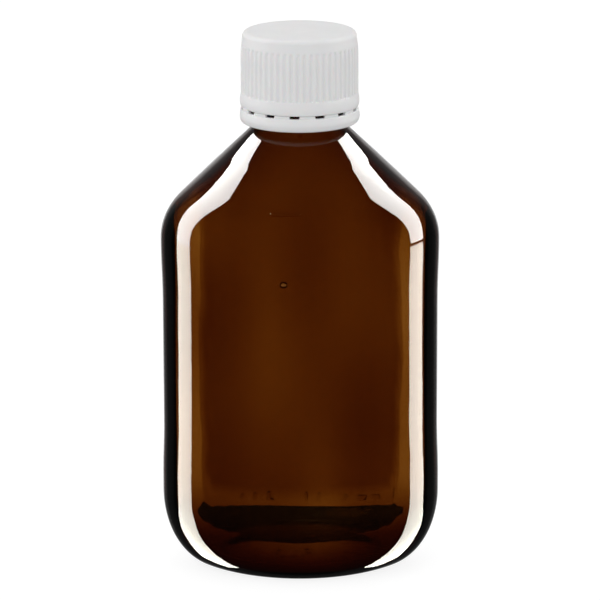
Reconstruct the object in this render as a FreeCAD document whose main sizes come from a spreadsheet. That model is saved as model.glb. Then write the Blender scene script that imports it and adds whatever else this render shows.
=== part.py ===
import FreeCAD, Part
import math
import os
import re
import Sketcher

# Flat oval medicine bottle with a screw cap and its tamper-evident band. Millimetres, +Z up, the wide
# side along X, the front facing -Y, the origin under the middle of the base.

SIZES = {
    # bottle, outside
    "body_width": 74.0,
    "body_depth": 50.2,
    "corner_angle": 40.7,         # direction in which the oval's side arc hands over to its front arc
    "heel_height": 20.4,
    "heel_inset_side": 13.8,
    "heel_inset_front": 9.6,
    "panel_bottom": 40.0,
    "panel_top": 74.0,
    "panel_step": 15.0,
    "panel_recess": 0.35,
    "shoulder_angle": 46.3,       # slope of the shoulder cone, from the vertical
    "shoulder_round_side": 16.6,
    "shoulder_round_front": 16.2,
    "neck_base": 119.5,
    "neck_base_radius": 13.6,
    # bottle, glass
    "wall_thickness": 2.3,
    "base_thickness": 4.6,
    "bearing_ring": 2.4,
    "push_up": 2.2,
    # neck finish, 28 mm
    "finish_top": 143.1,
    "mouth_radius": 9.6,
    "mouth_flare": 0.6,
    "neck_radius": 12.8,
    "lip_round": 0.9,
    "bead_radius": 14.1,
    "bead_underside": 125.4,
    "bead_chamfer": 0.3,
    "bead_land": 1.0,
    "bead_slope": 1.7,
    "thread_root": 12.5,
    "thread_crest": 13.7,
    "thread_pitch": 3.18,
    "thread_turns": 1.75,
    "thread_start": 135.2,        # height of the thread's middle at its lower end
    "thread_foot": 2.2,
    "thread_land": 0.9,
    "thread_overlap": 0.2,        # how deep a thread ridge is rooted in its wall
    # screw cap
    "cap_top": 146.1,
    "cap_bottom": 126.2,
    "cap_radius": 15.5,
    "cap_rim_radius": 15.05,
    "cap_rim_height": 1.1,
    "cap_taper_height": 5.1,
    "cap_edge_round": 1.1,
    "cap_panel": 1.5,
    "cap_bore": 14.05,
    "cap_mouth": 14.4,
    "cap_mouth_depth": 2.6,
    "cap_skirt_radius": 15.55,
    "cap_skirt_curve": 6.6,
    "cap_thread_crest": 12.85,
    "cap_thread_foot": 1.8,
    "cap_thread_land": 0.6,
    "rib_count": 56,
    "rib_bottom": 129.8,
    "rib_top": 143.3,
    "flute_radius": 0.62,
    "flute_depth": 0.4,
    "flute_turn": -1.37,
    # sealing liner
    "liner_radius": 13.8,
    # tamper-evident band and its breakaway bridges
    "band_top": 125.4,
    "band_bottom": 121.8,
    "band_radius": 15.55,
    "band_bore": 14.4,
    "band_curve": 4.2,
    "band_edge_round": 0.6,
    "flap_reach": 13.2,
    "flap_top": 125.0,
    "flap_foot": 122.3,
    "flap_thickness": 0.55,
    "flap_root": 0.2,
    "flap_count": 8,
    "flap_slot": 1.4,
    "flap_slot_room": 1.0,        # how far a slot runs past the flaps
    "bridge_count": 14,
    "bridge_width": 4.3,
    "bridge_outer": 15.15,
    "bridge_turn": -5.1,
    "bridge_gap": 0.1,            # the cut through the bridges' thin upper ends
}

# angles round the heel's curve, in degrees, that get a cross-section
HEEL_STEPS = (0, 15, 30, 45, 60, 75, 90)
# shares of the label panel's height, and of the shoulder's, that get a cross-section
PANEL_STEPS = (0, 0.33, 0.67, 1)
SHOULDER_STEPS = tuple(step / 12 for step in range(13))
# cross-sections of the hollow under the base: share of its depth, share of its width
HOLLOW_STEPS = ((0, 1), (0.6, 0.84), (1, 0.5))

document = FreeCAD.newDocument("oval_bottle")
sheet = document.addObject("Spreadsheet::Sheet", "Sizes")
for row, (alias, value) in enumerate(SIZES.items(), start=1):
    sheet.set(f"A{row}", alias)
    sheet.set(f"B{row}", str(value))
    sheet.setAlias(f"B{row}", alias)
document.recompute()


def on_sheet(expression):
    """Point the names in an expression at the sheet. Every alias has an underscore, no function has."""
    return re.sub(r"[a-z]+(_[a-z]+)+", r"Sizes.\g<0>", str(expression))


def value_of(expression):
    return float(document.Sizes.evalExpression(on_sheet(expression)))


def point(x, y):
    return FreeCAD.Vector(value_of(x), value_of(y), 0)


# ---- sketches ----

def origin_part(body, role):
    return next(item for item in body.Origin.OriginFeatures if item.Role == role)


def new_sketch(body, name, plane, height=0, turn=0):
    """A sketch on one of the body's own planes, lifted and turned about the plane's normal."""
    sketch = body.newObject("Sketcher::SketchObject", name)
    sketch.AttachmentSupport = [(origin_part(body, plane), "")]
    sketch.MapMode = "FlatFace"
    if height:
        sketch.setExpression("AttachmentOffset.Base.z", on_sheet(height))
    if turn:
        sketch.setExpression("AttachmentOffset.Rotation.Angle", on_sheet(turn))
    return sketch


def bind(sketch, kind, *where, to):
    """Add a dimension and bind it to an expression."""
    index = sketch.addConstraint(Sketcher.Constraint(kind, *where, value_of(to)))
    sketch.setExpression(f"Constraints[{index}]", on_sheet(to))


def bind_point(sketch, edge, end, x, y):
    bind(sketch, "DistanceX", -1, 1, edge, end, to=x)
    bind(sketch, "DistanceY", -1, 1, edge, end, to=y)


def arc_middle(start, end, radius):
    """The middle of an arc that bulges to the right of the way from start to end, or left if negative."""
    chord = end - start
    side = FreeCAD.Vector(chord.y, -chord.x, 0).normalize()
    rise = abs(radius) - (radius**2 - (chord.Length / 2) ** 2) ** 0.5
    return start + chord * 0.5 + side * (rise if radius > 0 else -rise)


def outline(body, name, corners, plane="XZ_Plane", height=0, turn=0):
    """A closed outline of corners (x, y), or (x, y, radius) where an arc leads to the next corner."""
    sketch = new_sketch(body, name, plane, height, turn)
    points = [point(corner[0], corner[1]) for corner in corners]
    starts = []
    for number, corner in enumerate(corners):
        start = points[number]
        end = points[(number + 1) % len(points)]
        if len(corner) == 2:
            edge = sketch.addGeometry(Part.LineSegment(start, end))
        else:
            middle = arc_middle(start, end, value_of(corner[2]))
            edge = sketch.addGeometry(Part.Arc(start, middle, end))
            bind(sketch, "Radius", edge, to=f"abs({corner[2]})")
        # a sketch stores an arc counter-clockwise, so its first end may be either one
        starts.append((edge, 1 if (sketch.getPoint(edge, 1) - start).Length < 1e-6 else 2))
    for number, (edge, first) in enumerate(starts):
        next_edge, next_first = starts[(number + 1) % len(starts)]
        sketch.addConstraint(Sketcher.Constraint("Coincident", edge, 3 - first, next_edge, next_first))
        bind_point(sketch, edge, first, corners[number][0], corners[number][1])
    return sketch


def circle(body, name, x, radius, height, turn=0):
    sketch = new_sketch(body, name, "XY_Plane", height, turn)
    edge = sketch.addGeometry(Part.Circle(point(x, 0), FreeCAD.Vector(0, 0, 1), value_of(radius)))
    bind_point(sketch, edge, 3, x, 0)
    bind(sketch, "Radius", edge, to=radius)
    return sketch


def oval(body, name, height, half_width, half_depth):
    """A four-arc oval. The joints lie in the same directions at every size, and a round one is a circle."""
    sketch = new_sketch(body, name, "XY_Plane", height)
    spread = f"((({half_width}) - ({half_depth})) / (cos(corner_angle) + sin(corner_angle) - 1))"
    side_radius = f"(({half_width}) - {spread} * cos(corner_angle))"
    front_radius = f"({side_radius} + {spread})"
    centre_x = value_of(f"{spread} * cos(corner_angle)")
    centre_y = value_of(f"{spread} * sin(corner_angle)")
    joint = value_of("corner_angle") * math.pi / 180
    arcs = []
    for x, y, radius, first, last in (
        (centre_x, 0, side_radius, -joint, joint),
        (0, -centre_y, front_radius, joint, math.pi - joint),
        (-centre_x, 0, side_radius, math.pi - joint, math.pi + joint),
        (0, centre_y, front_radius, math.pi + joint, 2 * math.pi - joint),
    ):
        whole = Part.Circle(FreeCAD.Vector(x, y, 0), FreeCAD.Vector(0, 0, 1), value_of(radius))
        arcs.append(sketch.addGeometry(Part.ArcOfCircle(whole, first, last)))
    right, back, left, front = arcs
    for edge, next_edge in zip(arcs, arcs[1:] + arcs[:1]):
        sketch.addConstraint(Sketcher.Constraint("Coincident", edge, 2, next_edge, 1))
    sketch.addConstraint(Sketcher.Constraint("Symmetric", right, 1, right, 2, -1))
    sketch.addConstraint(Sketcher.Constraint("Symmetric", back, 1, back, 2, -2))
    sketch.addConstraint(Sketcher.Constraint("Symmetric", left, 1, left, 2, -1))
    sketch.addConstraint(Sketcher.Constraint("Equal", right, left))
    sketch.addConstraint(Sketcher.Constraint("Equal", back, front))
    bind(sketch, "Radius", right, to=side_radius)
    bind(sketch, "Radius", back, to=front_radius)
    joint_y = f"{side_radius} * sin(corner_angle)"
    bind_point(sketch, right, 2, f"{spread} * cos(corner_angle) + {side_radius} * cos(corner_angle)", joint_y)
    return sketch


# ---- features ----

def feature(body, kind, name, profile, **bound):
    """A feature of the body from a profile, with its sizes bound to expressions."""
    made = body.newObject(f"PartDesign::{kind}", name)
    made.Profile = profile
    for size, expression in bound.items():
        made.setExpression(size, on_sheet(expression))
    return made


def loft(body, kind, name, sections):
    made = feature(body, kind, name, (sections[0], [""]))
    made.Sections = [(section, [""]) for section in sections[1:]]
    return made


def around_axis(body, kind, name, profile):
    """A full turn of a profile about the upright axis."""
    made = feature(body, kind, name, profile)
    made.ReferenceAxis = (origin_part(body, "Z_Axis"), [""])
    made.Angle = 360
    return made


def thread(body, name, foot_radius, crest_radius, foot, land, start):
    """One right-handed thread ridge of trapezium section, from foot_radius to crest_radius."""
    profile = outline(body, f"{name}_section", [
        (foot_radius, f"{start} - {foot} / 2"),
        (crest_radius, f"{start} - {land} / 2"),
        (crest_radius, f"{start} + {land} / 2"),
        (foot_radius, f"{start} + {foot} / 2"),
    ])
    made = feature(body, "AdditiveHelix", name, profile)
    made.ReferenceAxis = (origin_part(body, "Z_Axis"), [""])
    made.Mode = "pitch-turns-angle"
    made.setExpression("Pitch", on_sheet("thread_pitch"))
    made.setExpression("Turns", on_sheet("thread_turns"))
    return made


def repeat_round(body, name, original, count):
    made = body.newObject("PartDesign::PolarPattern", name)
    made.Originals = [original]
    made.Axis = (origin_part(body, "Z_Axis"), [""])
    made.Angle = 360
    made.setExpression("Occurrences", on_sheet(count))
    body.Tip = made
    return made


def new_body(label):
    body = document.addObject("PartDesign::Body", label)
    body.Label = label
    return body


# ---- the bottle's outline ----

def heel_section(body, name, angle, inset, lift):
    """A cross-section of the heel, at an angle round its quarter curve from the base to the side."""
    halves = []
    for full, heel_inset in (("body_width", "heel_inset_side"), ("body_depth", "heel_inset_front")):
        halves.append(f"{full} / 2 - ({inset}) - ({heel_inset} - ({inset})) * (1 - sin({angle}))")
    return oval(body, name, f"{lift} + (heel_height - {lift}) * (1 - cos({angle}))", *halves)


def shoulder_start(full, rounding):
    """The height at which the shoulder's arc leaves the upright side."""
    across = f"({full} / 2 - {rounding} * (1 - cos(shoulder_angle)) - neck_base_radius)"
    return f"(neck_base - {across} / tan(shoulder_angle) - {rounding} * sin(shoulder_angle))"


def shoulder_half(full, rounding, height, inset):
    """Half the shoulder's width or depth at a height: an arc, then the cone that runs up to the neck."""
    start = shoulder_start(full, rounding)
    radius = f"({rounding} - ({inset}))"
    arc = f"{full} / 2 - {rounding} + sqrt(max(0; {radius}^2 - max(0; {height} - {start})^2))"
    root = f"(neck_base_radius - ({inset}) / cos(shoulder_angle))"
    cone = f"{root} + (neck_base - ({height})) * tan(shoulder_angle)"
    return f"({height} > {start} + {radius} * sin(shoulder_angle)) ? ({cone}) : ({arc})"


def shoulder_section(body, name, share, inset):
    start = shoulder_start("body_width", "shoulder_round_side")
    height = f"({start} + (neck_base - {start}) * {share})"
    half_width = shoulder_half("body_width", "shoulder_round_side", height, inset)
    half_depth = shoulder_half("body_depth", "shoulder_round_front", height, inset)
    return oval(body, name, height, half_width, half_depth)


def panel_section(body, name, height, recess):
    return oval(body, name, height, f"body_width / 2 - {recess}", f"body_depth / 2 - {recess}")


def make_glass_bottle():
    body = new_body("glass_bottle")

    outside = [heel_section(body, f"heel_{angle}", angle, "0", "0") for angle in HEEL_STEPS]
    outside.append(panel_section(body, "below_panel", "panel_bottom - panel_step", "0"))
    for number, share in enumerate(PANEL_STEPS):
        height = f"panel_bottom + (panel_top - panel_bottom) * {share}"
        outside.append(panel_section(body, f"panel_{number}", height, "panel_recess"))
    outside.append(panel_section(body, "above_panel", "panel_top + panel_step", "0"))
    for number, share in enumerate(SHOULDER_STEPS):
        outside.append(shoulder_section(body, f"shoulder_{number}", share, "0"))
    loft(body, "AdditiveLoft", "blown_body", outside)

    # the fillet between the shoulder cone and the neck is tangent to both
    reach = "((neck_base_radius - neck_radius) / sin(shoulder_angle))"
    neck = outline(body, "neck_section", [
        (0, "neck_base"),
        ("neck_base_radius", "neck_base", f"-{reach} / tan(shoulder_angle / 2)"),
        ("neck_radius", f"neck_base + {reach} * (1 + cos(shoulder_angle))"),
        ("neck_radius", "bead_underside"),
        ("bead_radius", "bead_underside + bead_chamfer"),
        ("bead_radius", "bead_underside + bead_chamfer + bead_land"),
        ("thread_root", "bead_underside + bead_chamfer + bead_land + bead_slope"),
        ("thread_root", "finish_top - lip_round", "lip_round"),
        ("thread_root - lip_round", "finish_top"),
        (0, "finish_top"),
    ])
    around_axis(body, "Revolution", "neck_finish", neck)

    inside = [
        heel_section(body, f"inner_heel_{angle}", angle, "wall_thickness", "base_thickness")
        for angle in HEEL_STEPS
    ]
    for number, share in enumerate(SHOULDER_STEPS):
        inside.append(shoulder_section(body, f"inner_shoulder_{number}", share, "wall_thickness"))
    loft(body, "SubtractiveLoft", "cavity", inside)

    cavity_top = "(neck_base_radius - wall_thickness / cos(shoulder_angle))"
    mouth = outline(body, "mouth_section", [
        (0, "neck_base"),
        (cavity_top, "neck_base"),
        ("mouth_radius", f"neck_base + ({cavity_top} - mouth_radius) / tan(shoulder_angle)"),
        ("mouth_radius", "finish_top - mouth_flare", "-mouth_flare"),
        ("mouth_radius + mouth_flare", "finish_top"),
        (0, "finish_top"),
    ])
    around_axis(body, "Groove", "mouth", mouth)

    base_halves = ("body_width / 2 - heel_inset_side", "body_depth / 2 - heel_inset_front")
    hollow = []
    for number, (rise, share) in enumerate(HOLLOW_STEPS):
        halves = [f"({half} - bearing_ring) * {share}" for half in base_halves]
        hollow.append(oval(body, f"push_up_{number}", f"push_up * {rise}", *halves))
    loft(body, "SubtractiveLoft", "base_hollow", hollow)

    thread(body, "glass_thread", "thread_root - thread_overlap", "thread_crest", "thread_foot", "thread_land",
           "thread_start")
    return body


def make_screw_cap():
    body = new_body("screw_cap")
    rim_height = "cap_top - cap_rim_height"
    shell = outline(body, "cap_section", [
        ("cap_mouth", "cap_bottom"),
        ("cap_skirt_radius", "cap_bottom", "cap_skirt_curve"),
        ("cap_radius", "rib_bottom"),
        ("cap_radius", "cap_top - cap_taper_height"),
        ("cap_rim_radius", rim_height, "cap_edge_round"),
        ("cap_rim_radius - cap_edge_round", "cap_top"),
        (0, "cap_top"),
        (0, "cap_top - cap_panel"),
        ("cap_bore", "cap_top - cap_panel"),
        ("cap_bore", "cap_bottom + cap_mouth_depth + (cap_mouth - cap_bore)"),
        ("cap_mouth", "cap_bottom + cap_mouth_depth"),
    ])
    around_axis(body, "Revolution", "cap_shell", shell)
    thread(body, "cap_thread", "cap_bore + thread_overlap", "cap_thread_crest", "cap_thread_foot", "cap_thread_land",
           "(thread_start - thread_pitch / 2)")
    flute_place = "cap_radius + flute_radius - flute_depth"
    flute_section = circle(body, "flute_section", flute_place, "flute_radius", "rib_bottom", "flute_turn")
    flute = feature(body, "Pocket", "flute", flute_section, Length="rib_top - rib_bottom")
    flute.Reversed = True
    repeat_round(body, "ribs", flute, "rib_count")
    return body


def make_sealing_liner():
    body = new_body("sealing_liner")
    disc = circle(body, "disc_section", "0", "liner_radius", "finish_top")
    feature(body, "Pad", "disc", disc, Length="cap_top - cap_panel - finish_top")
    return body


def make_tamper_band():
    body = new_body("tamper_band")
    ring = outline(body, "ring_section", [
        ("band_bore", "band_bottom"),
        ("band_radius - band_edge_round", "band_bottom", "band_edge_round"),
        ("band_radius", "band_bottom + band_edge_round", "band_curve"),
        ("band_radius", "band_top"),
        ("band_bore", "band_top"),
    ])
    around_axis(body, "Revolution", "ring", ring)
    flap = outline(body, "flap_section", [
        ("band_bore + flap_root", "flap_foot"),
        ("band_bore + flap_root", "flap_foot + flap_thickness * 2"),
        ("flap_reach + flap_thickness", "flap_top"),
        ("flap_reach", "flap_top"),
    ])
    around_axis(body, "Revolution", "flaps", flap)
    slot_section = outline(body, "slot_section", [
        ("flap_reach - flap_slot_room", "-flap_slot / 2"),
        ("band_bore", "-flap_slot / 2"),
        ("band_bore", "flap_slot / 2"),
        ("flap_reach - flap_slot_room", "flap_slot / 2"),
    ], plane="XY_Plane", height="flap_foot")
    slot = feature(body, "Pocket", "slot", slot_section, Length="flap_top - flap_foot + flap_slot_room")
    slot.Reversed = True
    repeat_round(body, "slots", slot, "flap_count")
    return body


def make_breakaway_bridges():
    body = new_body("breakaway_bridges")
    body.AllowCompound = True
    section = outline(body, "bridge_section", [
        ("band_bore", "-bridge_width / 2"),
        ("bridge_outer", "-bridge_width / 2"),
        ("bridge_outer", "bridge_width / 2"),
        ("band_bore", "bridge_width / 2"),
    ], plane="XY_Plane", height="band_top", turn="bridge_turn")
    bridge = feature(body, "Pad", "bridge", section, Length="cap_bottom - bridge_gap - band_top")
    repeat_round(body, "bridges", bridge, "bridge_count")
    return body


def write_parts(bodies):
    document.recompute()
    for item in document.Objects:
        bad = {"Invalid", "Error"} & set(item.State)
        if bad:
            raise RuntimeError(f"{item.Label} is {bad}")
    for body in bodies:
        if body.Shape.isNull() or not body.Shape.isValid():
            raise RuntimeError(f"{body.Label} has no valid shape")
    os.makedirs("parts", exist_ok=True)
    for body in bodies:
        body.Shape.exportStep(f"parts/{body.Label}.step")
        box = body.Shape.BoundBox
        print(f"{body.Label}: {len(body.Shape.Solids)} solids, {body.Shape.Volume:.1f} mm3, "
              f"z {box.ZMin:.2f} to {box.ZMax:.2f}")


write_parts([
    make_glass_bottle(),
    make_screw_cap(),
    make_sealing_liner(),
    make_tamper_band(),
    make_breakaway_bridges(),
])
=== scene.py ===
import math

import bmesh
import bpy
import numpy as np
from mathutils import Euler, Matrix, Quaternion, Vector


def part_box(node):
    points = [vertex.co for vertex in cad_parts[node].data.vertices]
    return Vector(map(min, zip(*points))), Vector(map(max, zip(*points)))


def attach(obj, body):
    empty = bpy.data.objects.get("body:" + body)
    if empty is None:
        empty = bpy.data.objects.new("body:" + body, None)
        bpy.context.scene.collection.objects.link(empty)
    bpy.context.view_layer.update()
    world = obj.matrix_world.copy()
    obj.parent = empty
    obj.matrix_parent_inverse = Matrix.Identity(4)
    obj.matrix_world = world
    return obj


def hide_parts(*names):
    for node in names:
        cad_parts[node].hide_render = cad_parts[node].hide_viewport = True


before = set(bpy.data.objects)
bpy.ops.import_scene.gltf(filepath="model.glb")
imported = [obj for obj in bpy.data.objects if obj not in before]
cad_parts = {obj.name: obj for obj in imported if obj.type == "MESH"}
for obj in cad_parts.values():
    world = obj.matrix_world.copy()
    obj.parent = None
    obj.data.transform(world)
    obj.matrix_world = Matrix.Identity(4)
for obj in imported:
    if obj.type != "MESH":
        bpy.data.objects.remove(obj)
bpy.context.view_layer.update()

mm = 0.001
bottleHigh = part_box("glass_bottle")[1]
capLow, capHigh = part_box("screw_cap")
bandLow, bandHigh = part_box("tamper_band")
linerLow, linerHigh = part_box("sealing_liner")
bridgeLow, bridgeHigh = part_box("breakaway_bridges")


def smoothStep(low, high, value):
    share = np.clip((value - low) / (high - low), 0, 1)
    return share * share * (3 - 2 * share)


def meshObject(name, points, faces):
    mesh = bpy.data.meshes.new(name)
    mesh.from_pydata([tuple(p) for p in points], [], [tuple(f) for f in faces])
    mesh.update()
    mesh.polygons.foreach_set("use_smooth", [True] * len(mesh.polygons))
    made = bpy.data.objects.new(name, mesh)
    bpy.context.scene.collection.objects.link(made)
    return made


def skin(name, rows, closed=False):
    # rows of points round the upright axis; a row of one point is a pole, and a closed skin joins its
    # last row to its first
    points, starts = [], []
    for row in rows:
        starts.append(len(points))
        points.extend(row)
    pairs = list(zip(range(len(rows)), range(1, len(rows))))
    if closed:
        pairs.append((len(rows) - 1, 0))
    faces = []
    for a, b in pairs:
        na, nb = len(rows[a]), len(rows[b])
        count = max(na, nb)
        for i in range(count):
            j = (i + 1) % count
            if na == 1:
                faces.append((starts[a], starts[b] + j, starts[b] + i))
            elif nb == 1:
                faces.append((starts[a] + i, starts[a] + j, starts[b]))
            else:
                faces.append((starts[a] + i, starts[a] + j, starts[b] + j, starts[b] + i))
    made = meshObject(name, points, faces)
    if volumeOf(made) < 0:
        made.data.flip_normals()
    return made


def volumeOf(piece):
    mesh = piece.data
    mesh.calc_loop_triangles()
    points = np.array([v.co for v in mesh.vertices])
    corners = np.array([t.vertices for t in mesh.loop_triangles])
    a, b, c = points[corners[:, 0]], points[corners[:, 1]], points[corners[:, 2]]
    return float(np.einsum("ij,ij->", a, np.cross(b, c)) / 6)


def addNode(tree, kind, links=None, **settings):
    # links: socket name or number to a value or to another node's output
    node = tree.nodes.new(kind)
    for name, value in settings.items():
        setattr(node, name, value)
    for socket, value in (links or {}).items():
        target = node.inputs[socket]
        if isinstance(value, bpy.types.NodeSocket):
            tree.links.new(value, target)
        else:
            target.default_value = value
    return node


def linearColour(hexText):
    # sRGB hex to the linear values that shaders take
    parts = [int(hexText[i:i + 2], 16) / 255 for i in (1, 3, 5)]
    return tuple(c / 12.92 if c <= 0.04045 else ((c + 0.055) / 1.055) ** 2.4 for c in parts) + (1.0,)


def newMaterial(name):
    material = bpy.data.materials.new(name)
    material.use_nodes = True
    tree = material.node_tree
    tree.nodes.clear()
    return material, tree


def loft(name, rows):
    # a closed shape with flat faces through rows that all have the same number of points
    size = len(rows[0])
    points = [point for row in rows for point in row]
    faces = [tuple(range(size)), tuple(range(len(points) - 1, len(points) - 1 - size, -1))]
    for i in range(len(rows) - 1):
        for j in range(size):
            k = (j + 1) % size
            faces.append((i * size + j, (i + 1) * size + j, (i + 1) * size + k, i * size + k))
    made = meshObject(name, points, faces)
    made.data.polygons.foreach_set("use_smooth", [False] * len(made.data.polygons))
    if volumeOf(made) < 0:
        made.data.flip_normals()
    return made


def joinInto(target, other):
    # adds another mesh's faces to the target's own mesh
    base, extra = target.data, other.data
    points = [v.co[:] for v in base.vertices] + [v.co[:] for v in extra.vertices]
    shift = len(base.vertices)
    faces = [tuple(p.vertices) for p in base.polygons]
    faces += [tuple(i + shift for i in p.vertices) for p in extra.polygons]
    smooth = [p.use_smooth for p in base.polygons] + [p.use_smooth for p in extra.polygons]
    bpy.data.objects.remove(target)
    bpy.data.objects.remove(other)
    made = meshObject(base.name.split(".")[0], points, faces)
    made.data.polygons.foreach_set("use_smooth", smooth)
    return made


def shapeTree(name, inputs):
    # a Geometry Nodes tree that takes a shape and some named inputs
    tree = bpy.data.node_groups.new(name, "GeometryNodeTree")
    tree.interface.new_socket("Geometry", in_out="INPUT", socket_type="NodeSocketGeometry")
    for label, kind in inputs.items():
        tree.interface.new_socket(label, in_out="INPUT", socket_type="NodeSocket" + kind)
    tree.interface.new_socket("Geometry", in_out="OUTPUT", socket_type="NodeSocketGeometry")
    return tree, addNode(tree, "NodeGroupInput").outputs


def closeTree(tree, shape, material):
    # makes instances real, gives the shape its material and hands it out
    real = addNode(tree, "GeometryNodeRealizeInstances", {"Geometry": shape})
    coloured = addNode(tree, "GeometryNodeSetMaterial", {"Geometry": real.outputs["Geometry"],
                                                         "Material": material})
    addNode(tree, "NodeGroupOutput", {"Geometry": coloured.outputs["Geometry"]})


def applyTree(piece, tree, name, values):
    # runs a tree on a piece and returns the result as a plain mesh object
    modifier = piece.modifiers.new("shape", "NODES")
    modifier.node_group = tree
    for item in tree.interface.items_tree:
        if item.in_out == "INPUT" and item.name in values:
            modifier[item.identifier] = values[item.name]
    piece.update_tag()
    bpy.context.view_layer.update()
    seen = piece.evaluated_get(bpy.context.evaluated_depsgraph_get())
    mesh = bpy.data.meshes.new_from_object(seen)
    piece.modifiers.remove(modifier)
    bpy.data.objects.remove(piece)
    made = bpy.data.objects.new(name, mesh)
    mesh.name = name
    bpy.context.scene.collection.objects.link(made)
    return made


def roundTree():
    # repeats a shape round the upright axis
    tree, given = shapeTree("repeatRound", {"Count": "Int", "Turn": "Float", "Material": "Material"})
    line = addNode(tree, "GeometryNodeMeshLine", {"Count": given["Count"], "Offset": (0, 0, 0)})
    index = addNode(tree, "GeometryNodeInputIndex")
    step = addNode(tree, "ShaderNodeMath", {0: 2 * math.pi, 1: given["Count"]}, operation="DIVIDE")
    angle = addNode(tree, "ShaderNodeMath", {0: index.outputs[0], 1: step.outputs[0], 2: given["Turn"]},
                    operation="MULTIPLY_ADD")
    turn = addNode(tree, "ShaderNodeCombineXYZ", {"Z": angle.outputs[0]})
    spin = addNode(tree, "FunctionNodeEulerToRotation", {0: turn.outputs[0]})
    placed = addNode(tree, "GeometryNodeInstanceOnPoints", {
        "Points": line.outputs["Mesh"], "Instance": given["Geometry"], "Rotation": spin.outputs[0]})
    closeTree(tree, placed.outputs["Instances"], given["Material"])
    return tree


def finishPiece(piece, material, body, slotName, *nodes):
    if material.name not in piece.data.materials:
        piece.data.materials.append(material)
    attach(piece, body)
    if nodes:
        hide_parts(*nodes)


camera = {
    "distance": 1107.1 * mm,     # level distance from the bottle's axis
    "height": 362.76 * mm,
    "tilt": math.radians(14.67),
    "lens": 257.6,
    "aside": -0.05 * mm,
    "roll": math.radians(-0.16),
}


def makeCamera():
    data = bpy.data.cameras.new("camera")
    data.lens = camera["lens"]
    data.sensor_width = 36
    data.clip_start = 0.05
    data.clip_end = 60
    made = bpy.data.objects.new("camera", data)
    made.location = (camera["aside"], -camera["distance"], camera["height"])
    aim = Euler((math.pi / 2 - camera["tilt"], 0, 0)).to_quaternion()
    made.rotation_euler = (aim @ Quaternion((0, 0, 1), camera["roll"])).to_euler()
    bpy.context.scene.collection.objects.link(made)
    bpy.context.scene.camera = made


makeCamera()
print("camera ready")


def amberGlass():
    # blown amber soda-lime glass: clear fire-polished skin, iron and sulphur amber all through, faint waves
    material, tree = newMaterial("blownAmberGlass")
    place = addNode(tree, "ShaderNodeTexCoord")
    waves = addNode(tree, "ShaderNodeTexNoise", {"Vector": place.outputs["Object"], "Scale": 1 / (14 * mm),
                                                 "Detail": 1.0, "Roughness": 0.4})
    bump = addNode(tree, "ShaderNodeBump", {"Strength": 0.25, "Distance": 0.12 * mm,
                                            "Height": waves.outputs["Fac"]})
    # handling haze: a little less polish in cloudy patches some 20 mm across
    haze = addNode(tree, "ShaderNodeTexNoise", {"Vector": place.outputs["Object"], "Scale": 1 / (20 * mm),
                                                "Detail": 3.0})
    polish = addNode(tree, "ShaderNodeMapRange", {"Value": haze.outputs["Fac"], "From Min": 0.45,
                                                  "From Max": 0.8, "To Min": 0.0, "To Max": 0.02})
    shader = addNode(tree, "ShaderNodeBsdfPrincipled", {
        "Base Color": (1, 1, 1, 1), "Roughness": polish.outputs["Result"], "IOR": 1.52,
        "Transmission Weight": 1.0, "Normal": bump.outputs["Normal"]})
    tint = addNode(tree, "ShaderNodeVolumeAbsorption", {"Color": glass["tint"], "Density": glass["density"]})
    addNode(tree, "ShaderNodeOutputMaterial", {"Surface": shader.outputs["BSDF"],
                                               "Volume": tint.outputs["Volume"]})
    return material


def polypropylene():
    # injection-moulded white polypropylene: satin skin, fine spark-erosion grain, a trace of flow mottle
    material, tree = newMaterial("mouldedPolypropylene")
    place = addNode(tree, "ShaderNodeTexCoord")
    mottle = addNode(tree, "ShaderNodeTexNoise", {"Vector": place.outputs["Object"], "Scale": 1 / (5 * mm),
                                                  "Detail": 3.0})
    colour = addNode(tree, "ShaderNodeMix", {"Factor": mottle.outputs["Fac"], "A": linearColour("#E9E9EA"),
                                             "B": linearColour("#EFEFEF")}, data_type="RGBA")
    # real grain of about 0.05 mm, drawn at 0.25 mm so that it shows
    grain = addNode(tree, "ShaderNodeTexNoise", {"Vector": place.outputs["Object"], "Scale": 1 / (0.25 * mm),
                                                 "Detail": 2.0})
    bump = addNode(tree, "ShaderNodeBump", {"Strength": 0.18, "Distance": 0.02 * mm,
                                            "Height": grain.outputs["Fac"]})
    rough = addNode(tree, "ShaderNodeMapRange", {"Value": mottle.outputs["Fac"], "To Min": 0.55,
                                                 "To Max": 0.65})
    shader = addNode(tree, "ShaderNodeBsdfPrincipled", {
        "Base Color": colour.outputs["Result"], "Roughness": rough.outputs["Result"], "IOR": 1.49,
        "Specular IOR Level": 0.2, "Subsurface Weight": 0.12, "Subsurface Scale": 0.6 * mm,
        "Normal": bump.outputs["Normal"]})
    addNode(tree, "ShaderNodeOutputMaterial", {"Surface": shader.outputs["BSDF"]})
    return material


def linerFoam():
    # foamed polyethylene sheet: matt, off-white, with closed cells about half a millimetre across
    material, tree = newMaterial("foamedPolyethylene")
    place = addNode(tree, "ShaderNodeTexCoord")
    cells = addNode(tree, "ShaderNodeTexVoronoi", {"Vector": place.outputs["Object"],
                                                   "Scale": 1 / (0.5 * mm)})
    colour = addNode(tree, "ShaderNodeMix", {"Factor": cells.outputs["Distance"],
                                             "A": linearColour("#F4F3EE"), "B": linearColour("#E4E2DA")},
                     data_type="RGBA")
    bump = addNode(tree, "ShaderNodeBump", {"Strength": 0.5, "Distance": 0.05 * mm,
                                            "Height": cells.outputs["Distance"]})
    shader = addNode(tree, "ShaderNodeBsdfPrincipled", {
        "Base Color": colour.outputs["Result"], "Roughness": 0.85, "IOR": 1.5,
        "Normal": bump.outputs["Normal"]})
    addNode(tree, "ShaderNodeOutputMaterial", {"Surface": shader.outputs["BSDF"]})
    return material


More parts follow.
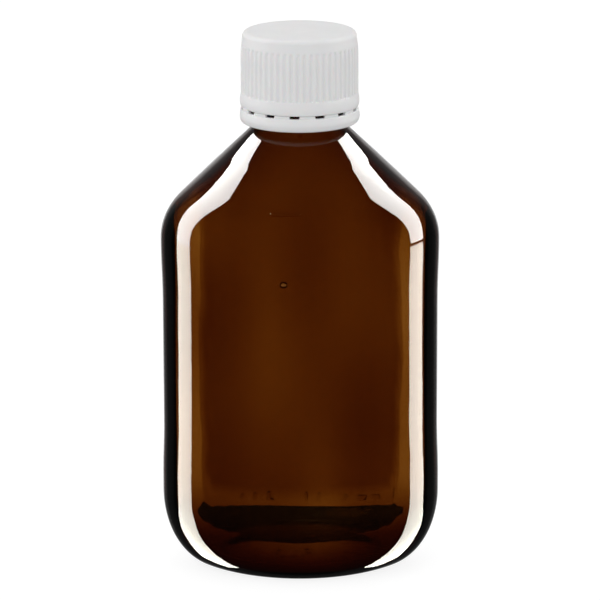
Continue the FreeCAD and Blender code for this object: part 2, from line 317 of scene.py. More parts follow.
glass = {
    "columns": 304,
    "cornerAngle": math.radians(40.7),      # normal's direction where the side arc meets the front arc
    "halfWide": 36.92 * mm,
    "halfDeep": 24.9 * mm,
    "heel": {"low": 0.14 * mm, "high": 20.4 * mm, "inWide": 13.8 * mm, "inDeep": 9.6 * mm},
    "innerHeel": {"low": 3.4 * mm, "high": 22 * mm, "inWide": 12.6 * mm, "inDeep": 8.2 * mm},
    "panelLow": 40 * mm,
    "panelHigh": 74 * mm,
    "panelStep": 15 * mm,
    "panelRecess": 0.35 * mm,
    "bodyTop": 88 * mm,                     # the rows of points are closer together above this height
    "outerRows": {"heel": 26, "body": 24, "shoulder": 38},
    "innerRows": {"heel": 20, "body": 24, "shoulder": 26},
    "shoulderAngle": math.radians(46.3),
    "roundWide": 16.6 * mm,
    "roundDeep": 16.2 * mm,
    "neckBase": 119.5 * mm,
    "neckBaseRadius": 13.6 * mm,
    "throatRound": 1.5 * mm,
    "neckRadius": 12.0 * mm,
    "beadRadius": 14.1 * mm,
    "beadUnder": 125.4 * mm,
    "beadLand": 1.0 * mm,
    "beadSlope": 1.7 * mm,
    "threadRoot": 12.5 * mm,
    "threadRise": 1.2 * mm,
    "threadPitch": 3.18 * mm,
    "threadTurns": 1.75,
    "threadStart": 135.2 * mm,
    "threadHalf": 1.1 * mm,
    "threadCrest": 0.3,           # share of threadHalf that stays at full height
    "threadRunOut": 1.2,          # angle over which each end of the ridge fades away
    "lipRound": 0.9 * mm,
    "mouthRadius": 9.6 * mm,
    "mouthFlare": 0.6 * mm,
    "boreHead": 1.2 * mm,         # the straight bore, from this far under the top
    "boreFoot": 121.2 * mm,       # down to this height
    "wall": 2.3 * mm,
    "bearingRing": 2.4 * mm,
    "pushUp": 2.3 * mm,
    "pushUpPower": 2.4,           # over 2 makes the base hollow flatter in its middle
    "floorDome": 0.6 * mm,
    "seamRise": 0.07 * mm,
    "knurls": 76,
    "thinEdge": 24.3 * mm,        # beyond this distance from the middle the walls are thinner
    "thinFoot": 26 * mm,          # and so is the front wall below this height
    "thinCorner": 6 * mm,
    "thinner": 0.75 * mm,
    "bellyThinner": 0.14 * mm,    # a paler patch a little above the middle
    "sideStart": 31 * mm,
    "sideThicker": 0.9 * mm,
    "waveRise": 0.12 * mm,
    "rippleRise": 0.02 * mm,
    "tint": (0.651, 0.438, 0.0, 1.0),
    "density": 1700.0,
}


def ovalRow(halfWide, halfDeep, height, angles):
    # a four-arc oval; angles are those of its normals, so the columns gather where it bends most
    corner = glass["cornerAngle"]
    spread = (halfWide - halfDeep) / (math.cos(corner) + math.sin(corner) - 1)
    sideRadius = halfWide - spread * math.cos(corner)
    c, s = np.cos(angles), np.sin(angles)
    onSide = np.arctan2(np.abs(s), np.abs(c)) <= corner
    x = np.where(onSide, spread * math.cos(corner) * np.sign(c) + sideRadius * c, (sideRadius + spread) * c)
    y = np.where(onSide, sideRadius * s, -spread * math.sin(corner) * np.sign(s) + (sideRadius + spread) * s)
    return np.stack([x, y, np.full_like(x, height)], 1)


def shoulderHalf(full, rounding, height, inset):
    # half a width or depth of the shoulder: an arc off the upright side, then the cone up to the neck
    slope = glass["shoulderAngle"]
    start = (glass["neckBase"] - (full - rounding * (1 - math.cos(slope)) - glass["neckBaseRadius"])
             / math.tan(slope) - rounding * math.sin(slope))
    radius = rounding - inset
    if height <= start:
        return full - inset
    if height <= start + radius * math.sin(slope):
        return full - rounding + math.sqrt(radius ** 2 - (height - start) ** 2)
    root = glass["neckBaseRadius"] - inset / math.cos(slope)
    return root + (glass["neckBase"] - height) * math.tan(slope)


def heelHalves(angle, inset, heel):
    # half the width and depth, and the height, from angle 0 at the foot to a quarter turn at the heel's top
    halves = [full - inset - inward * (1 - math.sin(angle))
              for full, inward in ((glass["halfWide"], heel["inWide"]), (glass["halfDeep"], heel["inDeep"]))]
    return halves, heel["low"] + (heel["high"] - heel["low"]) * (1 - math.cos(angle))


def bodyHalves(height, inset):
    # half the width and depth over the heel; the label panel is a shallow recess with soft ends
    low, high, step = glass["panelLow"], glass["panelHigh"], glass["panelStep"]
    dent = glass["panelRecess"] * (smoothStep(low - step, low, height)
                                   - smoothStep(high, high + step, height))
    return [shoulderHalf(glass["halfWide"], glass["roundWide"], height, inset) - dent,
            shoulderHalf(glass["halfDeep"], glass["roundDeep"], height, inset) - dent]


def bodySkin(angles, inset, heel, top, count):
    # heel, upright body and shoulder, from the base up
    rows = []
    for angle in np.linspace(0, math.pi / 2, count["heel"]):
        halves, height = heelHalves(angle, inset, heel)
        rows.append(ovalRow(*halves, height, angles))
    heights = [*np.linspace(heel["high"], glass["bodyTop"], count["body"])[1:],
               *np.linspace(glass["bodyTop"], top, count["shoulder"])[1:]]
    rows.extend(ovalRow(*bodyHalves(height, inset), height, angles) for height in heights)
    return rows


def ring(radius, height, angles):
    return ovalRow(radius, radius, height, angles)


def throatStart():
    # height at which the shoulder's cone ends
    slope = glass["shoulderAngle"]
    drop = glass["neckBaseRadius"] - glass["neckRadius"] - glass["throatRound"] * (1 - math.cos(slope))
    return glass["neckBase"] + drop / math.tan(slope)


def threadRow(height, angles, root, rise, half, runOut, lag=0.0):
    # a ring with the thread's ridge on it, lag turns of the pitch lower than the thread on the glass
    last = glass["threadTurns"] * 2 * math.pi
    radius = np.full_like(angles, root)
    for lap in range(math.ceil(glass["threadTurns"])):
        turned = np.mod(angles, 2 * math.pi) + lap * 2 * math.pi
        middle = glass["threadStart"] + glass["threadPitch"] * (turned / (2 * math.pi) - lag)
        fade = smoothStep(0, runOut, turned) * (1 - smoothStep(last - runOut, last, turned))
        off = np.clip(np.abs(height - middle) / half, 0, 1)
        radius = radius + rise * fade * (1 - smoothStep(glass["threadCrest"], 1, off))
    row = ring(1.0, height, angles)
    row[:, :2] *= radius[:, None]
    return row


def finishSkin(angles):
    # a small fillet where the cone meets the neck, then the locking bead, the thread and the lip
    slope = glass["shoulderAngle"]
    start = throatStart()
    rows = []
    for turn in np.linspace(slope, 0, 7)[1:]:
        rows.append(ring(glass["neckRadius"] + glass["throatRound"] * (1 - math.cos(turn)),
                         start + glass["throatRound"] * (math.sin(slope) - math.sin(turn)), angles))
    neck, bead, root = glass["neckRadius"], glass["beadRadius"], glass["threadRoot"]
    under, land, fall = glass["beadUnder"], glass["beadLand"], glass["beadSlope"]
    # the bead is flat below, where the flaps catch, and slopes above, with its edges eased
    outline = [(neck, under - 0.5 * mm), (neck + 0.1 * mm, under - 0.1 * mm),
               (bead - 0.35 * mm, under + 0.05 * mm), (bead - 0.08 * mm, under + 0.2 * mm),
               (bead, under + 0.45 * mm), (bead, under + 0.3 * mm + land),
               (bead - 0.2 * mm, under + 0.6 * mm + land), (root + 0.3 * mm, under + land + fall),
               (root, under + 0.4 * mm + land + fall)]
    rows.extend(ring(radius, height, angles) for radius, height in outline)
    top = bottleHigh.z
    threadFoot = under + 0.6 * mm + land + fall
    for height in np.linspace(threadFoot, top - glass["lipRound"], 38):
        rows.append(threadRow(height, angles, root, glass["threadRise"], glass["threadHalf"],
                              glass["threadRunOut"]))
    for turn in np.linspace(0, math.pi / 2, 8)[1:]:
        rows.append(ring(glass["threadRoot"] - glass["lipRound"] * (1 - math.cos(turn)),
                         top - glass["lipRound"] * (1 - math.sin(turn)), angles))
    flare = glass["mouthFlare"]
    for turn in np.linspace(math.pi / 2, 0, 6):
        rows.append(ring(glass["mouthRadius"] + flare * (1 - math.cos(turn)),
                         top - flare * (1 - math.sin(turn)), angles))
    return rows


def innerWaves(row, angles):
    # blown glass is uneven inside: thin edges round a thick middle, slow waves and fine upright ripples;
    # x and z are in millimetres here
    x, z = row[:, 0] / mm, row[:, 2] / mm
    corner = glass["thinCorner"] / mm
    across = (np.abs(x) - (glass["thinEdge"] / mm - corner)
              - 0.4 * np.sin(z / 8) - 0.25 * np.sin(z / 3.1 + np.sign(x)))
    down = np.where(row[:, 1] < 0, glass["thinFoot"] / mm + corner - z, -corner)
    beyond = np.hypot(np.maximum(across, 0), np.maximum(down, 0)) - corner
    thin = glass["thinner"] * smoothStep(-0.2, 0.9, beyond) * smoothStep(8, 20, z)
    thick = glass["sideThicker"] * smoothStep(0, 4, np.abs(x) - glass["sideStart"] / mm)
    waves = np.sin(x / 5.5 + z / 19) + 0.8 * np.sin(z / 9 - x / 14 + 1.3) + 0.5 * np.sin(x / 3 - z / 30 + 0.4)
    ripples = np.sin(x * 1.9 + np.sin(z / 7)) + np.sin(14 * angles + z / 11)
    belly = glass["bellyThinner"] * np.exp(-((x + 2) / 10) ** 2 - ((z - 84) / 13) ** 2)
    fade = 1 - smoothStep(100, 112, z)
    return fade * (thin - thick + belly + glass["waveRise"] * waves + glass["rippleRise"] * ripples)


# raised marks moulded in the glass: a bar on the front of the shoulder and plain pips on the back of the
# heel, which stand in for moulded lettering, each a rounded line from one x, z to another in millimetres;
# and an arc of round pips in the base hollow
marks = {
    "front": {"lines": [((-7.15, 102.3), (-0.3, 102.3))],
              "half": 0.55 * mm, "rise": 0.21 * mm, "bevel": 0.85, "cuts": 9, "margin": 0.65 * mm},
    "back": {"lines": [((x, 13.2 + 0.2 * math.sin(x)), (x + 0.5 * math.sin(3 * x), 15.0))
                       for x in (-16.6, -12.6, -8.4, 1.0, 4.6, 13.1, 16.8, 20.4, 24.0)],
             "half": 0.75 * mm, "rise": 0.36 * mm, "bevel": 0.75, "cuts": 5, "margin": 0.5 * mm},
    "under": {"count": 7, "start": math.radians(150), "end": math.radians(390),
              "middle": (-2.4 * mm, -5.5 * mm), "halfWide": 4.2 * mm, "halfDeep": 0.6 * 4.2 * mm,
              "half": 0.7 * mm, "rise": 0.3 * mm, "cuts": 5, "margin": 0.4 * mm},
}


def outerDepth(x, height):
    # how far the outer skin is from the upright middle plane, at the front or the back
    heel = glass["heel"]
    if height < heel["high"]:
        turn = math.acos(1 - (height - heel["low"]) / (heel["high"] - heel["low"]))
        halfWide, halfDeep = heelHalves(turn, 0, heel)[0]
    else:
        halfWide, halfDeep = bodyHalves(height, 0)
    corner = glass["cornerAngle"]
    spread = (halfWide - halfDeep) / (math.cos(corner) + math.sin(corner) - 1)
    arc = halfWide + spread * (1 - math.cos(corner))
    return math.sqrt(arc ** 2 - x ** 2) - spread * math.sin(corner)


def lineDistance(x, z, line):
    (ax, az), (bx, bz) = line
    ax, az, bx, bz = (value * mm for value in (ax, az, bx, bz))
    along = ((x - ax) * (bx - ax) + (z - az) * (bz - az)) / ((bx - ax) ** 2 + (bz - az) ** 2)
    along = min(max(along, 0), 1)
    return math.hypot(x - ax - along * (bx - ax), z - az - along * (bz - az))


def refine(work, near, cuts):
    # splits the faces whose middle is near a mark into a fine grid
    edges = {edge for face in work.faces if near(face.calc_center_median()) for edge in face.edges}
    bmesh.ops.subdivide_edges(work, edges=list(edges), cuts=cuts, use_grid_fill=True)


def raiseMarks(piece):
    work = bmesh.new()
    work.from_mesh(piece.data)
    for name, side in (("front", -1), ("back", 1)):
        group = marks[name]
        reach = group["half"] + group["margin"]

        def onSkin(place):
            # on the outer skin, and not on the inner one a wall's thickness away
            if place.y * side < 0.5 * glass["halfDeep"]:
                return False
            if min(lineDistance(place.x, place.z, line) for line in group["lines"]) > reach:
                return False
            return abs(place.y * side - outerDepth(place.x, place.z)) < 0.3 * glass["wall"]

        refine(work, onSkin, group["cuts"])
        for point in work.verts:
            if onSkin(point.co):
                away = min(lineDistance(point.co.x, point.co.z, line) for line in group["lines"])
                share = (group["half"] - away) / (group["bevel"] * group["rise"])
                lift = group["rise"] * min(max(share, 0), 1)
                point.co.y = side * (outerDepth(point.co.x, point.co.z) + lift)
    under = marks["under"]
    turns = np.linspace(under["start"], under["end"], under["count"])
    pips = [(under["middle"][0] + under["halfWide"] * math.cos(turn),
             under["middle"][1] + under["halfDeep"] * math.sin(turn)) for turn in turns]

    def pipDistance(place):
        # points above the base hollow count as far away
        if place.z > glass["pushUp"] + 0.1 * mm:
            return math.inf
        return min(math.hypot(place.x - x, place.y - y) for x, y in pips)

    refine(work, lambda place: pipDistance(place) < under["half"] + under["margin"], under["cuts"])
    for point in work.verts:
        away = pipDistance(point.co)
        if away < under["half"]:
            point.co.z -= under["rise"] * (1 - float(smoothStep(0.1, 1, away / under["half"])))
    work.to_mesh(piece.data)
    work.free()
    piece.data.polygons.foreach_set("use_smooth", [True] * len(piece.data.polygons))


seed = {"x": -4.3 * mm, "z": 83.2 * mm, "half": (1.05 * mm, 0.55 * mm, 0.9 * mm), "rings": 14, "columns": 24}


def seedRows():
    # a gas bubble shut in the middle of the front wall
    x, z = seed["x"], seed["z"]
    y = -outerDepth(x, z) + 0.5 * glass["wall"]
    halfX, halfY, halfZ = seed["half"]
    rows = []
    for turn in np.linspace(-math.pi / 2, math.pi / 2, seed["rings"]):
        around = np.linspace(0, 2 * math.pi, seed["columns"], endpoint=False)
        if abs(math.cos(turn)) < 1e-6:
            around = around[:1]
        rows.append(np.stack([x + halfX * math.cos(turn) * np.cos(around),
                              y + halfY * math.cos(turn) * np.sin(around),
                              np.full_like(around, z + halfZ * math.sin(turn))], 1))
    return rows


def makeBottle(material):
    angles = np.linspace(0, 2 * math.pi, glass["columns"], endpoint=False)
    heel = glass["heel"]
    inWide, inDeep = (half - glass["bearingRing"] for half in heelHalves(0, 0, heel)[0])
    rows = [np.array([[0, 0, glass["pushUp"]]])]
    for share in np.linspace(0.06, 1, 15):
        rows.append(ovalRow(inWide * share, inDeep * share,
                            heel["low"] + (glass["pushUp"] - heel["low"])
                            * (1 - share ** glass["pushUpPower"]), angles))
    # the bearing ring is knurled, so that the hot base doesn't check on the belt
    knurl = np.clip(np.cos(glass["knurls"] * angles), 0, 1)
    for share, depth in ((0.2, 0.5), (0.5, 1.0), (0.8, 0.5)):
        reach = glass["bearingRing"] * share
        row = ovalRow(inWide + reach, inDeep + reach, heel["low"], angles)
        row[:, 2] -= heel["low"] * depth * knurl
        rows.append(row)
    outer = bodySkin(angles, 0, heel, throatStart(), glass["outerRows"])
    # the mould's parting line down each narrow side
    for row in outer:
        for column in (0, glass["columns"] // 2):
            row[column, 0] += math.copysign(glass["seamRise"], row[column, 0])
    rows.extend(outer)
    rows.extend(finishSkin(angles))
    inner = bodySkin(angles, glass["wall"], glass["innerHeel"], glass["neckBase"], glass["innerRows"])
    for row in inner:
        thinner = innerWaves(row, angles)
        row[:, 0] += thinner * np.cos(angles)
        row[:, 1] += thinner * np.sin(angles)
    rows.extend(ring(glass["mouthRadius"], height, angles)
                for height in np.linspace(bottleHigh.z - glass["boreHead"], glass["boreFoot"], 12))
    rows.extend(inner[::-1])
    floorWide, floorDeep = heelHalves(0, glass["wall"], glass["innerHeel"])[0]
    for share in np.linspace(1, 0.05, 11)[1:]:
        rows.append(ovalRow(floorWide * share, floorDeep * share,
                            glass["innerHeel"]["low"] + glass["floorDome"] * (1 - share ** 2), angles))
    rows.append(np.array([[0, 0, glass["innerHeel"]["low"] + glass["floorDome"]]]))
    made = skin("glassBottle", rows)
    raiseMarks(made)
    bubble = skin("seedBubble", seedRows())
    bubble.data.flip_normals()
    made = joinInto(made, bubble)
    finishPiece(made, material, "bottle", "amber_glass", "glass_bottle")


cap = {
    "ribs": 56,
    "columnsPerRib": 10,
    "ribTurn": math.radians(1.85),     # from the front towards +X
    "ribLow": 129.7 * mm,
    "ribHigh": 142.9 * mm,
    "ribDepth": 0.42 * mm,
    "ribFoot": 0.35 * mm,
    "ribHead": 1.1 * mm,
    "grooveFrom": -0.75,               # a groove's walls lie between these levels of a cosine wave
    "grooveTo": 0.6,
    "radius": 15.5 * mm,
    "skirt": 15.55 * mm,
    "skirtEdge": 0.18 * mm,
    "flare": 0.23 * mm,
    "taper": 6.1 * mm,                 # height over which the top draws in
    "rimInset": 0.5175 * mm,
    "edgeRound": 1.35 * mm,
    "bore": 14.05 * mm,
    "mouth": 14.4 * mm,                # the bore is wider up to mouthDeep above the skirt's edge
    "mouthDeep": 2.6 * mm,
    "panel": 1.5 * mm,
    "threadRise": 1.2 * mm,
    "threadHalf": 0.9 * mm,
    "threadRunOut": 0.9,
    "threadLag": 0.5,                  # turns below the glass's thread, so the ridges lie between each other
}


def ribTree():
    # presses upright grooves into the outside of a round skirt, so that ribs stand between them
    tree, given = shapeTree("ribbedSkirt", {"Count": "Int", "Turn": "Float", "Depth": "Float", "Low": "Float",
                                            "High": "Float", "Inside": "Float", "Material": "Material"})

    def calculate(operation, first, second=0.0):
        return addNode(tree, "ShaderNodeMath", {0: first, 1: second}, operation=operation).outputs[0]

    def multiply(first, second):
        return calculate("MULTIPLY", first, second)

    def ease(value, low, high):
        return addNode(tree, "ShaderNodeMapRange", {"Value": value, "From Min": low, "From Max": high},
                       interpolation_type="SMOOTHSTEP").outputs["Result"]

    place = addNode(tree, "GeometryNodeInputPosition").outputs[0]
    parts = addNode(tree, "ShaderNodeSeparateXYZ", {0: place}).outputs
    flat = addNode(tree, "ShaderNodeCombineXYZ", {0: parts["X"], 1: parts["Y"]}).outputs[0]
    radius = addNode(tree, "ShaderNodeVectorMath", {0: flat}, operation="LENGTH").outputs["Value"]
    outward = addNode(tree, "ShaderNodeVectorMath", {0: flat}, operation="NORMALIZE").outputs["Vector"]
    angle = calculate("SUBTRACT", calculate("ARCTAN2", parts["Y"], parts["X"]), given["Turn"])
    wave = calculate("COSINE", multiply(angle, given["Count"]))
    groove = calculate("SUBTRACT", 1.0, ease(wave, cap["grooveFrom"], cap["grooveTo"]))
    foot = ease(parts["Z"], given["Low"], calculate("ADD", given["Low"], cap["ribFoot"]))
    head = ease(parts["Z"], given["High"], calculate("SUBTRACT", given["High"], cap["ribHead"]))
    amount = multiply(multiply(groove, multiply(foot, head)), given["Depth"])
    shift = addNode(tree, "ShaderNodeVectorMath", {0: outward, "Scale": multiply(amount, -1.0)},
                    operation="SCALE").outputs["Vector"]
    moved = addNode(tree, "GeometryNodeSetPosition", {
        "Geometry": given["Geometry"], "Offset": shift,
        "Selection": calculate("GREATER_THAN", radius, given["Inside"])})
    closeTree(tree, moved.outputs["Geometry"], given["Material"])
    return tree


def makeCap(material):
    count = cap["ribs"] * cap["columnsPerRib"]
    angles = np.linspace(0, 2 * math.pi, count, endpoint=False)
    top, low = capHigh.z, capLow.z
    rows = []
    # the skirt's rounded lower edge and its plain flared foot
    edge = cap["skirtEdge"]
    for turn in np.linspace(0, math.pi / 2, 4):
        rows.append(ring(cap["skirt"] - edge * (1 - math.sin(turn)),
                         low + edge * (1 - math.cos(turn)), angles))
    for share in np.linspace(0.08, 1, 14):
        drawIn = (cap["skirt"] - cap["radius"]) * share
        radius = cap["skirt"] + cap["flare"] * math.sin(math.pi * share ** 0.85) - drawIn
        rows.append(ring(radius, low + (cap["ribLow"] - low) * share, angles))
    # ribbed skirt with its slight taper, in closer rows where the ribs begin and end
    ribLow, ribHigh, shoulder = cap["ribLow"], cap["ribHigh"], top - cap["edgeRound"]
    stops = (ribLow, ribLow + 1 * mm, ribHigh - 1.6 * mm, ribHigh + 0.2 * mm, shoulder)
    for start, end, number in zip(stops, stops[1:], (7, 8, 11, 5)):
        for height in np.linspace(start, end, number)[1:]:
            narrowing = smoothStep(top - cap["taper"], top, height)
            rows.append(ring(cap["radius"] - cap["rimInset"] * narrowing, height, angles))
    rim = float(np.hypot(rows[-1][0, 0], rows[-1][0, 1]))
    for turn in np.linspace(0, math.pi / 2, 9)[1:]:
        rows.append(ring(rim - cap["edgeRound"] * (1 - math.cos(turn)),
                         shoulder + cap["edgeRound"] * math.sin(turn), angles))
    flat = rim - cap["edgeRound"]
    rows.extend(ring(flat * share, top, angles) for share in (0.985, 0.9, 0.6, 0.3, 0.08))
    rows.append(np.array([[0, 0, top]]))
    # inside: panel, threaded wall and the wider mouth
    panel = top - cap["panel"]
    inner = [np.array([[0, 0, panel]])]
    inner.extend(ring(cap["bore"] * share, panel, angles) for share in (0.1, 0.5, 0.9, 0.985, 1.0))
    mouthTop = low + cap["mouthDeep"]
    for height in np.linspace(panel - 0.3 * mm, mouthTop + 0.6 * mm, 56):
        inner.append(threadRow(height, angles, cap["bore"], -cap["threadRise"], cap["threadHalf"],
                               cap["threadRunOut"], cap["threadLag"]))
    inner.extend(ring(radius, height, angles) for radius, height in (
        (cap["bore"], mouthTop + 0.4 * mm), (cap["mouth"], mouthTop), (cap["mouth"], low + 0.2 * mm),
        (cap["mouth"] + 0.1 * mm, low)))
    plain = skin("plainCap", inner + rows)
    made = applyTree(plain, ribTree(), "screwCap", {
        "Count": cap["ribs"], "Turn": cap["ribTurn"] - math.pi / 2, "Depth": cap["ribDepth"],
        "Low": cap["ribLow"], "High": cap["ribHigh"], "Inside": cap["mouth"] + 0.15 * mm,
        "Material": material})
    finishPiece(made, material, "cap", "white_polypropylene", "screw_cap")


liner = {"edgeRound": 0.25 * mm, "columns": 128}


def makeLiner(material):
    angles = np.linspace(0, 2 * math.pi, liner["columns"], endpoint=False)
    radius, low, high = linerHigh.x, linerLow.z, linerHigh.z
    rows = [np.array([[0, 0, low]])]
    rows.extend(ring(radius * share, low, angles) for share in (0.2, 0.6, 0.92))
    for turn in np.linspace(0, math.pi / 2, 5):
        rows.append(ring(radius - liner["edgeRound"] * (1 - math.sin(turn)),
                         low + liner["edgeRound"] * (1 - math.cos(turn)), angles))
    for turn in np.linspace(0, math.pi / 2, 5):
        rows.append(ring(radius - liner["edgeRound"] * (1 - math.cos(turn)),
                         high - liner["edgeRound"] * (1 - math.sin(turn)), angles))
    rows.extend(ring(radius * share, high, angles) for share in (0.92, 0.6, 0.2))
    rows.append(np.array([[0, 0, high]]))
    made = skin("sealingLiner", rows)
    finishPiece(made, material, "liner", "liner_foam", "sealing_liner")


band = {
    "columns": 224,
    "radius": 15.58 * mm,
    "bulge": 0.22 * mm,
    "footFlare": 0.1 * mm,
    "bore": 14.4 * mm,
    "edgeRound": 0.95 * mm,
    "topEdge": 0.12 * mm,
    "flapReach": 13.2 * mm,
    "flapTop": 125.0 * mm,
    "flapFoot": 122.3 * mm,
    "flapThick": 0.55 * mm,
    "flapSunk": 0.15 * mm,        # the flap's foot lies this far inside the band's wall
    "flaps": 8,
    "flapGap": math.radians(5.5),
}


def bandOutline():
    # radius and height, from the rounded lower edge up the outside and down the inside
    low, high = bandLow.z, bandHigh.z
    radius, bore, edge, flare = band["radius"], band["bore"], band["edgeRound"], band["footFlare"]
    outline = []
    for turn in np.linspace(0, math.pi / 2, 7):
        outline.append((radius + flare - edge * (1 - math.sin(turn)), low + edge * (1 - math.cos(turn))))
    for share in np.linspace(0.08, 1, 12):
        outline.append((radius + flare * (1 - share) + band["bulge"] * math.sin(math.pi * share ** 0.7),
                        low + edge + (high - low - edge - band["topEdge"]) * share))
    outline += [(radius - band["topEdge"], high), (bore + 0.1 * mm, high), (bore, high - 0.1 * mm),
                (bore, low + 0.2 * mm), (bore + 0.05 * mm, low)]
    return outline


def flapRows():
    # one retaining flap: a strip that slopes up and in from the band's wall
    foot, top, reach, thick = band["flapFoot"], band["flapTop"], band["flapReach"], band["flapThick"]
    root = band["bore"] + band["flapSunk"]
    section = [(root, foot), (reach, top), (reach + thick, top), (root, foot + 2 * thick)]
    step = 2 * math.pi / band["flaps"]
    return [[(radius * math.cos(angle), radius * math.sin(angle), height) for radius, height in section]
            for angle in np.linspace(band["flapGap"] / 2, step - band["flapGap"] / 2, 14)]


def makeBand(material, tree):
    angles = np.linspace(0, 2 * math.pi, band["columns"], endpoint=False)
    wall = skin("tamperBand", [ring(radius, height, angles) for radius, height in bandOutline()], closed=True)
    flaps = applyTree(loft("retainingFlap", flapRows()), tree, "retainingFlaps",
                      {"Count": band["flaps"], "Turn": 0.0, "Material": material})
    made = joinInto(wall, flaps)
    finishPiece(made, material, "band", "white_polypropylene", "tamper_band")


bridge = {
    "count": 14,
    "wide": 4.3 * mm,
    "outer": 15.15 * mm,
    "inner": 14.45 * mm,
    "bow": 0.08 * mm,
    "turn": math.radians(-5.1),
    "waist": ((0, 1.0), (0.3, 0.97), (0.75, 0.95), (1, 0.9)),    # share of the height, share of the width
}


def bridgeRows():
    # a slim web, narrowest at the top, where it tears
    half, inner, outer = bridge["wide"] / 2, bridge["inner"], bridge["outer"]
    section = ((inner, -half), (outer, -half), (outer + bridge["bow"], 0), (outer, half), (inner, half))
    return [[(x, y * width, bridgeLow.z + share * (bridgeHigh.z - bridgeLow.z)) for x, y in section]
            for share, width in bridge["waist"]]


def makeBridges(material, tree):
    made = applyTree(loft("bridgeShape", bridgeRows()), tree, "breakawayBridges",
                     {"Count": bridge["count"], "Turn": bridge["turn"], "Material": material})
    finishPiece(made, material, "band", "white_polypropylene", "breakaway_bridges")


stage = {
    "floorHalf": 30.0,
    "floorGlow": 0.86,
    "floorColour": 0.24,
    "shade": {"middle": 28.5 * mm, "halfDeep": 25 * mm, "halfWide": 30 * mm, "lift": 0.02 * mm},
    "worldLight": 0.76,
    # what reflections see of the surroundings: how far towards the rear, and the light there
    "rearGlow": ((0.2, 0.012), (0.3, 0.04), (0.65, 0.045), (0.89, 0.16), (1.0, 1.0)),
    "cardDistance": 1500 * mm,
    "cardGlow": 15.5,
    "overhead": {"high": 1.5, "near": 0.05, "far": 0.5, "light": 2.4,
                 "spans": ((-0.28, -0.15), (-0.06, 0.07))},
    "frontShare": 0.8,           # the front edge of a softbox is dimmer than its rear edge
    "rightGap": 0.03,            # on the right the two softboxes don't meet
    "lampAim": (0, 0, 0.08),
}

# place and size in metres, power in watts
lamps = {"keyLight": {"place": (-0.9, -0.9, 1.0), "size": 0.7, "power": 2.2},
         "topLight": {"place": (0.1, -0.2, 1.5), "size": 0.9, "power": 0.95}}

# a tall side softbox is two: each row gives, as shares of its distance from the bottle, the front edge's
# y and z, the rear edge's y and z, and then the light it gives there
softboxLow = {"tint": (1.0, 0.965, 0.86), "rows": [
    (0.8, -2.5, 1.5, -2.55, 0.9), (0.3, -1.55, 1.1, -1.65, 0.92), (0.13, -1.12, 0.72, -1.225, 0.95),
    (0.05, -0.84, 0.48, -0.92, 0.92), (-0.07, -0.50, 0.265, -0.555, 0.9), (-0.10, -0.33, 0.14, -0.35, 0.88),
    (-0.12, -0.155, 0.09, -0.12, 0.88)]}
softboxHigh = {"tint": (1.0, 0.985, 0.955), "rows": [
    (-0.12, -0.155, 0.09, -0.12, 1.02), (-0.125, 0.04, 0.105, 0.03, 1.04),
    (-0.165, 0.175, 0.165, 0.185, 1.06), (-0.23, 0.37, 0.28, 0.39, 1.1),
    (-0.25, 0.57, 0.45, 0.615, 1.12), (-0.09, 0.755, 0.6, 0.70, 1.12),
    (0.29, 1.15, 1.0, 0.84, 1.12), (0.55, 1.22, 1.36, 0.79, 1.12)]}


def glowMaterial(name, tint):
    material, tree = newMaterial(name)
    share = addNode(tree, "ShaderNodeAttribute", attribute_name="glow")
    power = addNode(tree, "ShaderNodeMath", {0: share.outputs["Fac"], 1: stage["cardGlow"]},
                    operation="MULTIPLY")
    glow = addNode(tree, "ShaderNodeEmission", {"Color": (*tint, 1), "Strength": power.outputs[0]})
    addNode(tree, "ShaderNodeOutputMaterial", {"Surface": glow.outputs["Emission"]})
    return material


def glossOnly(card, tint):
    # a softbox that shows only as a reflection
    card.data.materials.append(glowMaterial(card.name + "Glow", tint))
    card.visible_camera = False
    card.visible_diffuse = False
    card.visible_transmission = False
    card.visible_shadow = False


def makeCard(name, side, softbox, lift=0.0):
    away = stage["cardDistance"]
    points, faces, glow = [], [], []
    rows = softbox["rows"]
    for number, (frontY, frontZ, rearY, rearZ, light) in enumerate(rows):
        raised = lift if number == 0 else 0.0
        points += [(side * away, away * frontY, away * (frontZ + raised)),
                   (side * away, away * rearY, away * (rearZ + raised))]
        glow += [stage["frontShare"] * light, light]
    for i in range(len(rows) - 1):
        faces.append((2 * i, 2 * i + 1, 2 * i + 3, 2 * i + 2))
    card = meshObject(name, points, faces)
    card.data.attributes.new("glow", "FLOAT", "POINT").data.foreach_set("value", glow)
    glossOnly(card, softbox["tint"])


def makeOverhead():
    # two small softboxes above, which glint in the bar on the shoulder
    over = stage["overhead"]
    near, far, high = over["near"], over["far"], over["high"]
    for name, (left, right) in zip(("overheadLeft", "overheadRight"), over["spans"]):
        corners = [(left, near, high), (right, near, high), (right, far, high), (left, far, high)]
        card = meshObject(name, corners, [(0, 1, 2, 3)])
        card.data.attributes.new("glow", "FLOAT", "POINT").data.foreach_set("value", [over["light"]] * 4)
        glossOnly(card, softboxHigh["tint"])


def makeShade():
    # painted shade: a black disc on the table just behind the bottle stands in for the little light there;
    # only what is seen through the glass shows it
    shade = stage["shade"]
    turns = np.linspace(0, 2 * math.pi, 64, endpoint=False)
    points = [(shade["halfWide"] * math.cos(turn), shade["middle"] + shade["halfDeep"] * math.sin(turn),
               shade["lift"]) for turn in turns]
    made = meshObject("tableShade", points, [tuple(range(len(points)))])
    # black material of the painted shadow disc
    material, tree = newMaterial("paintedShadowTable")
    shader = addNode(tree, "ShaderNodeBsdfDiffuse", {"Color": (0, 0, 0, 1)})
    addNode(tree, "ShaderNodeOutputMaterial", {"Surface": shader.outputs["BSDF"]})
    made.data.materials.append(material)
    made.visible_camera = False
    made.visible_diffuse = False
    made.visible_glossy = False
    made.visible_shadow = False


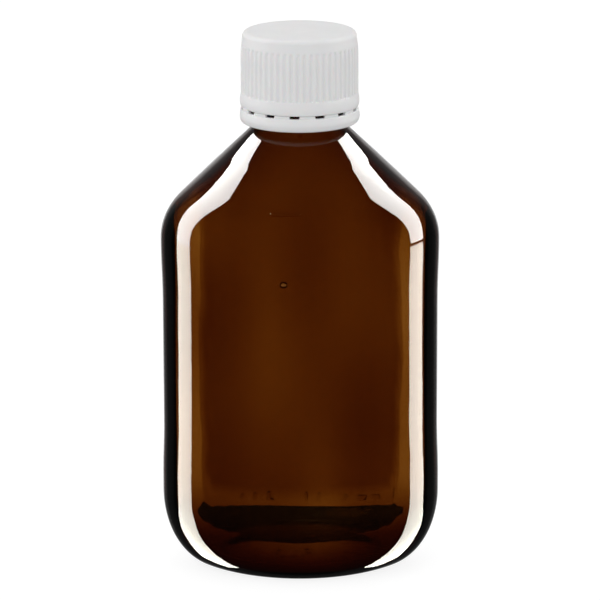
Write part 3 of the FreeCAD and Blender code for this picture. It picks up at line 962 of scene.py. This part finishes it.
def makeFloor():
    half = stage["floorHalf"]
    corners = [(-half, -half, 0), (half, -half, 0), (half, half, 0), (-half, half, 0)]
    floor = meshObject("floor", corners, [(0, 1, 2, 3)])
    material, tree = newMaterial("litTable")
    shader = addNode(tree, "ShaderNodeBsdfPrincipled", {
        "Base Color": (stage["floorColour"],) * 3 + (1,), "Roughness": 1.0, "Specular IOR Level": 0.0,
        "Emission Color": (1, 1, 1, 1), "Emission Strength": stage["floorGlow"]})
    addNode(tree, "ShaderNodeOutputMaterial", {"Surface": shader.outputs["BSDF"]})
    floor.data.materials.append(material)
    floor.visible_glossy = False
    floor.visible_diffuse = False


def makeWorld():
    # white to the eye and through the glass, dim in reflections except behind the bottle
    world = bpy.data.worlds.new("studio")
    bpy.context.scene.world = world
    world.use_nodes = True
    tree = world.node_tree
    tree.nodes.clear()
    path = addNode(tree, "ShaderNodeLightPath")
    place = addNode(tree, "ShaderNodeTexCoord")
    parts = addNode(tree, "ShaderNodeSeparateXYZ", {0: place.outputs["Generated"]})
    behind = addNode(tree, "ShaderNodeValToRGB", {"Fac": parts.outputs["Y"]})
    ramp = behind.color_ramp
    for spot, level in stage["rearGlow"]:
        stop = ramp.elements.new(spot)
        stop.color = (level, level, level, 1)
    ramp.elements.remove(ramp.elements[0])
    ramp.elements.remove(ramp.elements[-1])
    lit = addNode(tree, "ShaderNodeMix", {"Factor": path.outputs["Is Diffuse Ray"], "A": 1.0,
                                          "B": stage["worldLight"]}, data_type="FLOAT")
    level = addNode(tree, "ShaderNodeMix", {"Factor": path.outputs["Is Glossy Ray"],
                                            "A": lit.outputs["Result"],
                                            "B": behind.outputs["Color"]}, data_type="FLOAT")
    back = addNode(tree, "ShaderNodeBackground", {"Color": (1, 1, 1, 1), "Strength": level.outputs["Result"]})
    addNode(tree, "ShaderNodeOutputWorld", {"Surface": back.outputs["Background"]})


def makeLamp(name, place, size, power):
    data = bpy.data.lights.new(name, "AREA")
    data.shape = "SQUARE"
    data.size = size
    data.energy = power
    lamp = bpy.data.objects.new(name, data)
    lamp.location = place
    lamp.rotation_euler = (Vector(stage["lampAim"]) - Vector(place)).to_track_quat("-Z", "Y").to_euler()
    lamp.visible_glossy = False
    bpy.context.scene.collection.objects.link(lamp)


def makeStage():
    makeFloor()
    makeShade()
    makeOverhead()
    makeCard("softboxLeftLow", -1, softboxLow)
    makeCard("softboxLeftHigh", -1, softboxHigh)
    makeCard("softboxRightLow", 1, softboxLow)
    makeCard("softboxRightHigh", 1, softboxHigh, stage["rightGap"])
    makeWorld()
    for name, lamp in lamps.items():
        makeLamp(name, **lamp)
    bpy.context.scene.view_settings.view_transform = "Standard"


makeStage()
print("stage ready")

glassMaterial = amberGlass()
plasticMaterial = polypropylene()
foamMaterial = linerFoam()
makeBottle(glassMaterial)
print("glass bottle made")
makeCap(plasticMaterial)
print("screw cap made")
makeLiner(foamMaterial)
repeatRound = roundTree()
makeBand(plasticMaterial, repeatRound)
makeBridges(plasticMaterial, repeatRound)
print("liner, band and bridges made")
